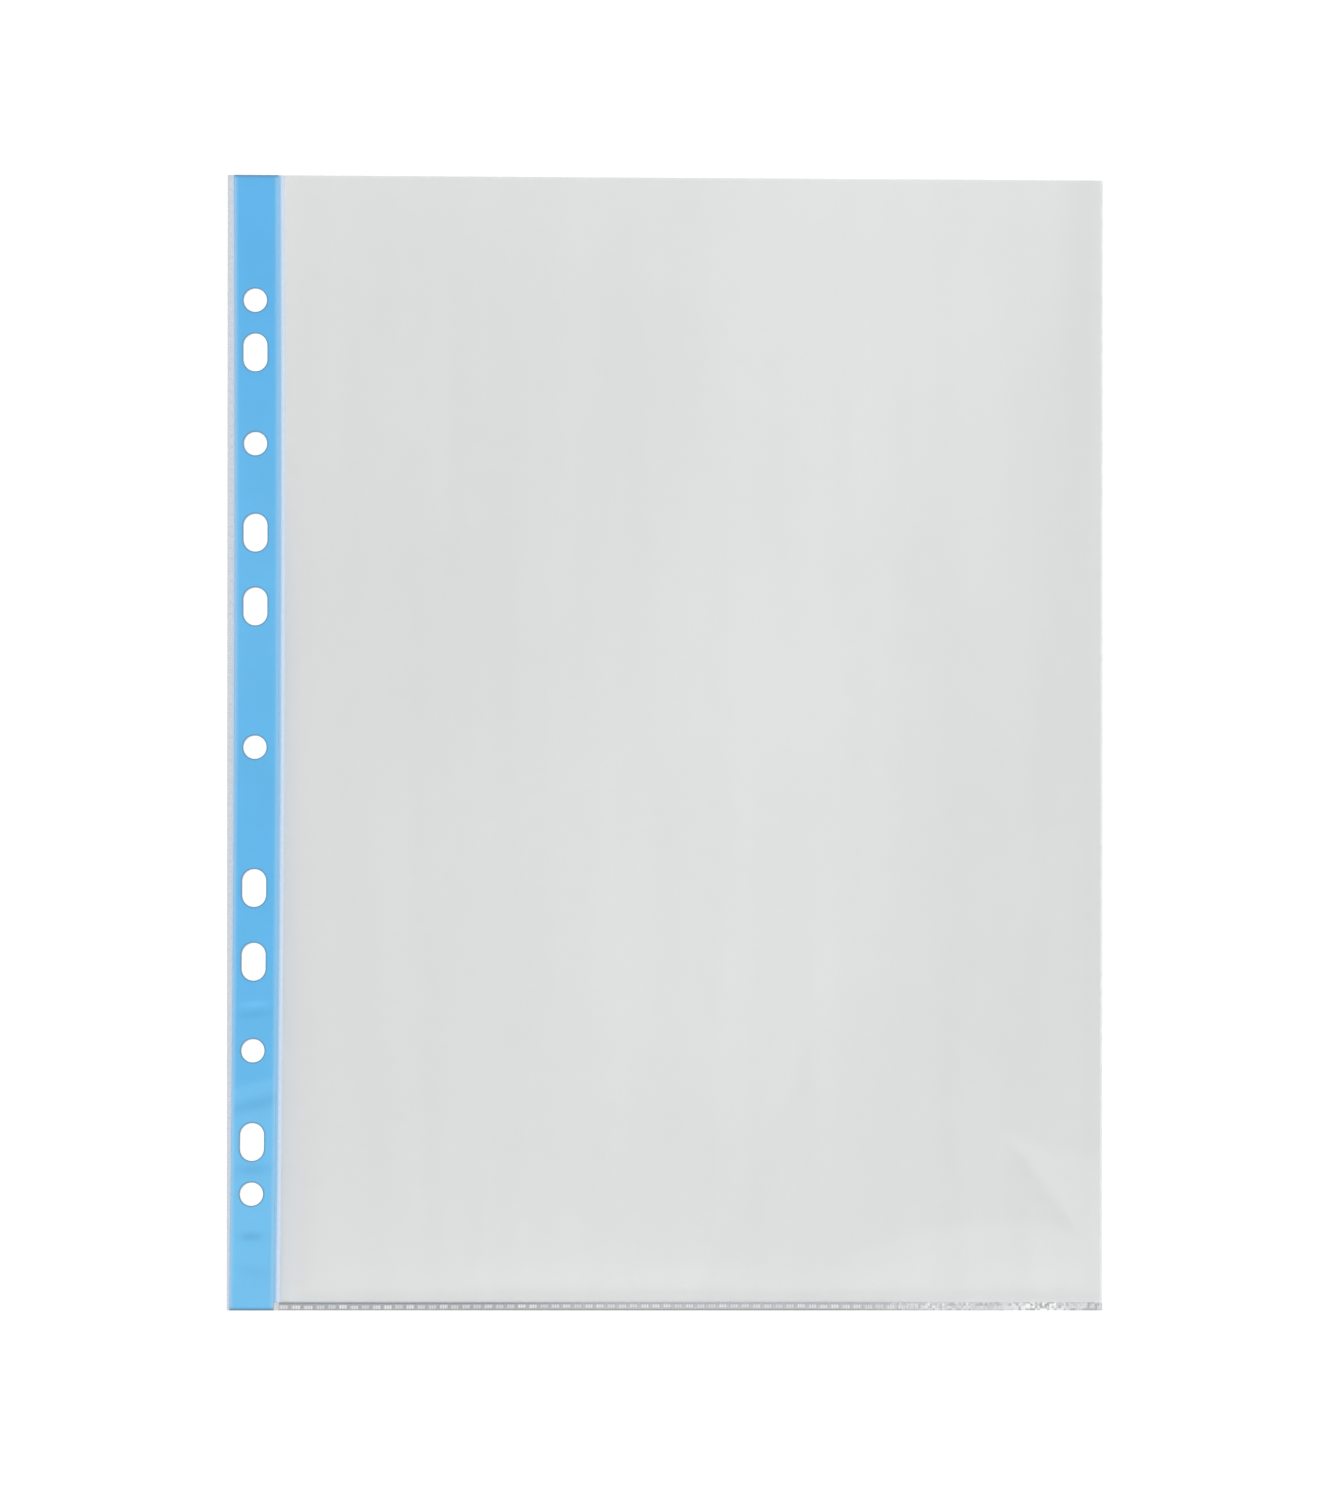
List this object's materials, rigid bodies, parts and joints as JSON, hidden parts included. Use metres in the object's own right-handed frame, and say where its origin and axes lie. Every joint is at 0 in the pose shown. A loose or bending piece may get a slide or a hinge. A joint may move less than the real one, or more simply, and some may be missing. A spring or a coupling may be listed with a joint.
{
  "type": "sheet protector",
  "caption": "Flat A4 pocket of clear film with an open top, knurled heat-sealed seams and a blue punched binding strip that fits ring binders.",
  "frame": {"origin": "middle of the footprint, on the surface that the sheet lies on", "axes": "+Y towards the pocket's open mouth, +X from the binding strip to the folded edge, +Z out of the front face"},
  "size_m": [0.235, 0.305, 0.0004],
  "materials": {
    "clear_film": "clear cast polypropylene film, glossy",
    "fused_film": "polypropylene film fused under a knurled jaw",
    "blue_ribbon": "light blue polypropylene ribbon under glossy film"
  },
  "bodies": {
    "binding": {"binding_strip": "blue_ribbon", "front_strip_film": "clear_film", "rear_strip_film": "clear_film", "outer_edge_weld": "fused_film"},
    "pocket": {"inner_pocket_weld": "fused_film", "bottom_weld": "fused_film", "front_film": "clear_film", "rear_film": "clear_film", "side_fold": "clear_film"}
  },
  "joints": [
    {"name": "page_turn", "type": "hinge", "parent": "binding", "child": "pocket", "pos_m": [-0.1039, 0, 0.00022], "axis": [0, -1, 0], "range_deg": [0, 165]}
  ]
}
